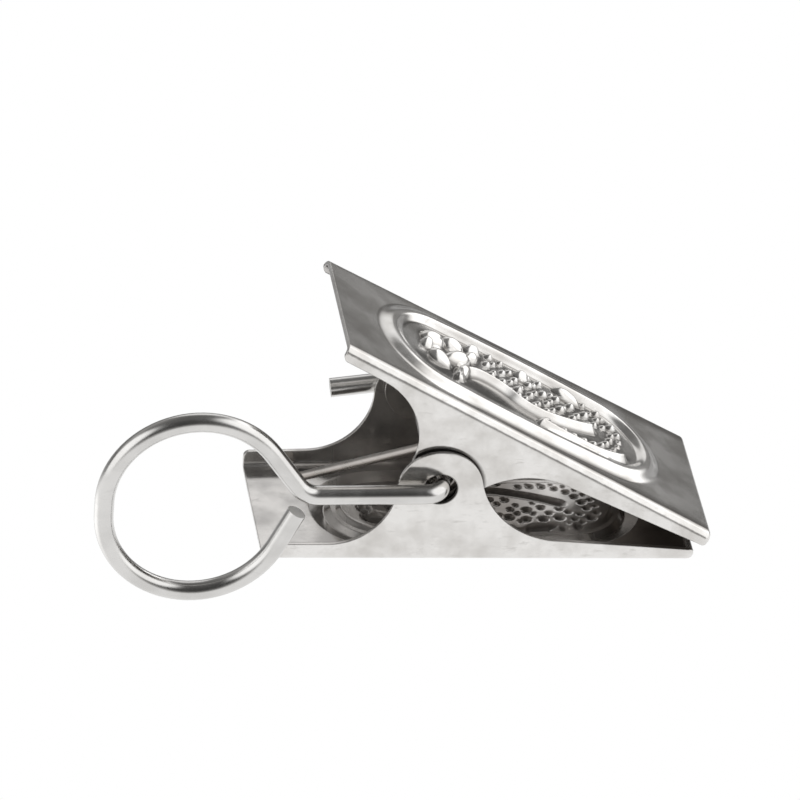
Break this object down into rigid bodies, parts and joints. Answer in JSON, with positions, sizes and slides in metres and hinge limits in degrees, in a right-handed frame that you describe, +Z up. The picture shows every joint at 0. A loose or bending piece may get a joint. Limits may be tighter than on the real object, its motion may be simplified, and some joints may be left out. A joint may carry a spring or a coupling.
{
  "type": "curtain clip",
  "caption": "Sprung metal curtain clip: ornamented channel jaws pinched on a wire hinge that runs out to an open ring for a curtain rod.",
  "frame": {"origin": "centre of the wire ring, where the curtain rod passes, in the plane of the ring", "axes": "+X from the ring to the tips of the jaws, +Y along the rod and the hinge pin from the ring's side across the jaws, +Z up from the lower jaw to the upper"},
  "size_m": [0.0511, 0.0198, 0.0225],
  "materials": {
    "plated_sheet": "bright plated, pressed",
    "plated_wire": "bright plated wire",
    "spring_wire": "spring steel, satin"
  },
  "bodies": {
    "ring": {"wire_ring": "plated_wire"},
    "lower": {"lower_jaw": "plated_sheet", "torsion_spring": "spring_wire"},
    "upper": {"upper_jaw": "plated_sheet"}
  },
  "joints": [
    {"name": "clip_swing", "type": "hinge", "parent": "ring", "child": "lower", "pos_m": [0.02012, 0.00908, 0.001], "axis": [0, 1, 0], "continuous": true},
    {"name": "jaw_open", "type": "hinge", "parent": "lower", "child": "upper", "pos_m": [0.02012, 0.00908, 0.001], "axis": [0, -1, 0], "range_deg": [0, 68], "stiffness_Nm_per_rad": 0.005, "springref_deg": -34.38, "deforming": ["torsion_spring"]}
  ]
}
